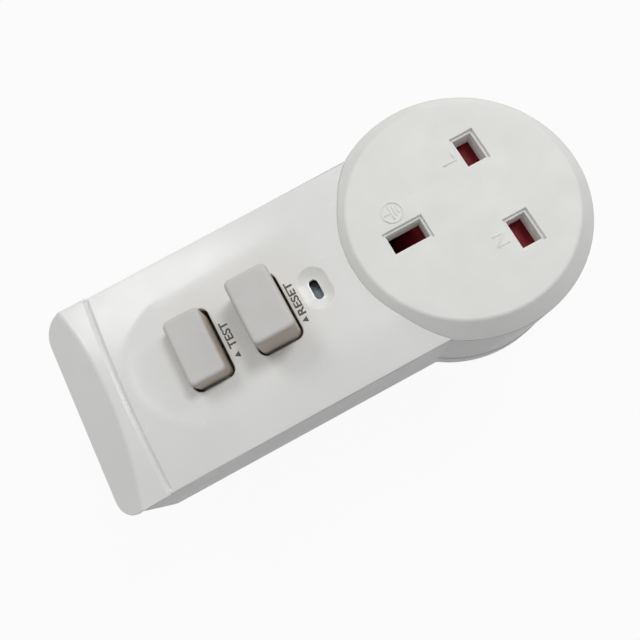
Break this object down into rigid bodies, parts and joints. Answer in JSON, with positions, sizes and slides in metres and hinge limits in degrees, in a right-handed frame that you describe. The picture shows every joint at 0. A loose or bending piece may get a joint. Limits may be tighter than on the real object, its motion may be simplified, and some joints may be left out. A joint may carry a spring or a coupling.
{
  "type": "RCD adapter plug",
  "caption": "Plug-in residual current adapter: wall plug with round shuttered socket face and a long body with test and reset buttons and trip indicator.",
  "frame": {"origin": "on the wall face of the rear cover, on the socket axis midway between the live and neutral sides", "axes": "+Z out of the socket face, away from the wall; -X along the body to the chin, which is up in use; +Y to the live side"},
  "size_m": [0.1264, 0.0588, 0.0627],
  "materials": {
    "cover_white": "fine texture, satin",
    "socket_white": "matt, warm white",
    "shell_grey": "fine texture, satin",
    "button_grey": "satin",
    "shutter_red": "gloss, dark red",
    "lens_dark": "clear dark gloss",
    "flag_black": "matt",
    "sleeve_black": "satin",
    "brass": "plain",
    "steel": "bright zinc",
    "copper": "enamelled winding",
    "core_grey": "dull",
    "ivory_plastic": "satin",
    "board_green": "lacquered",
    "wire_brown": "smooth",
    "wire_blue": "smooth",
    "component_blue": "lacquered",
    "resistor_tan": "lacquered"
  },
  "bodies": {
    "case": {"front_cover": "cover_white", "socket_face": "socket_white", "housing": "shell_grey", "rear_cover": "shell_grey", "case_screws": "steel", "indicator_lens": "lens_dark", "flag_pin": "steel", "socket_base": "ivory_plastic", "live_socket_clip": "brass", "neutral_socket_clip": "brass", "earth_socket_clip": "brass", "live_pin": "brass", "neutral_pin": "brass", "earth_pin": "brass", "live_pin_sleeve": "sleeve_black", "neutral_pin_sleeve": "sleeve_black", "live_supply_bar": "brass", "neutral_supply_bar": "brass", "live_supply_contact": "brass", "neutral_supply_contact": "brass", "live_load_contact": "brass", "neutral_load_contact": "brass", "live_load_wire": "wire_brown", "neutral_load_wire": "wire_blue", "mechanism_frame": "ivory_plastic", "circuit_board": "board_green", "board_screws": "steel", "solenoid_yoke": "steel", "solenoid_bobbin": "ivory_plastic", "solenoid_coil": "copper", "latch_pin": "steel", "latch_bracket": "steel", "transformer_core": "core_grey", "transformer_winding": "copper", "test_leaf_post": "brass", "test_terminal": "brass", "test_resistor": "resistor_tan", "control_chip": "flag_black", "capacitor": "component_blue", "varistor": "component_blue"},
    "reset": {"reset_button": "button_grey", "reset_spring": "steel"},
    "carriage": {"contact_carriage": "ivory_plastic", "live_moving_contact": "brass", "neutral_moving_contact": "brass", "carriage_spring": "steel"},
    "flag": {"indicator_flag": "flag_black"},
    "test": {"test_button": "button_grey", "test_spring": "steel"},
    "leaf": {"test_leaf": "brass"},
    "shutter": {"shutter": "shutter_red", "shutter_spring": "steel"},
    "plunger": {"plunger": "steel", "plunger_spring": "steel"},
    "latch": {"latch_lever": "steel"}
  },
  "joints": [
    {"name": "reset_press", "type": "slide", "parent": "case", "child": "reset", "axis": [0, 0, -1], "range_m": [0, 0.0035], "stiffness_N_per_m": 400, "springref_m": -0.004, "deforming": ["reset_spring"]},
    {"name": "carriage_drop", "type": "slide", "parent": "case", "child": "carriage", "axis": [0, 0, -1], "range_m": [0, 0.0035], "stiffness_N_per_m": 150, "springref_m": -0.003, "deforming": ["carriage_spring"]},
    {"name": "flag_turn", "type": "hinge", "parent": "case", "child": "flag", "pos_m": [-0.0364, 0, 0.0245], "axis": [0, -1, 0], "range_deg": [0, 35]},
    {"name": "test_press", "type": "slide", "parent": "case", "child": "test", "axis": [0, 0, -1], "range_m": [0, 0.002], "stiffness_N_per_m": 300, "springref_m": -0.003, "deforming": ["test_spring"]},
    {"name": "leaf_bend", "type": "hinge", "parent": "case", "child": "leaf", "pos_m": [-0.0755, 0.002, 0.01785], "axis": [0, 1, 0], "range_deg": [0, 11.3]},
    {"name": "shutter_slide", "type": "slide", "parent": "case", "child": "shutter", "axis": [1, 0, 0], "range_m": [0, 0.006], "stiffness_N_per_m": 150, "springref_m": -0.003, "deforming": ["shutter_spring"]},
    {"name": "plunger_pull", "type": "slide", "parent": "case", "child": "plunger", "axis": [-1, 0, 0], "range_m": [0, 0.0012], "stiffness_N_per_m": 200, "springref_m": -0.002, "deforming": ["plunger_spring"]},
    {"name": "latch_swing", "type": "hinge", "parent": "case", "child": "latch", "pos_m": [-0.05775, -0.004, 0.0103], "axis": [0, -1, 0], "range_deg": [0, 18.3]}
  ],
  "couplings": [
    {"joint": "carriage_drop", "follows": "reset_press", "ratio": 1},
    {"joint": "flag_turn", "follows": "reset_press", "rad_per_m": 171},
    {"joint": "leaf_bend", "follows": "test_press", "rad_per_m": 97.087},
    {"joint": "latch_swing", "follows": "plunger_pull", "rad_per_m": 263.16}
  ]
}
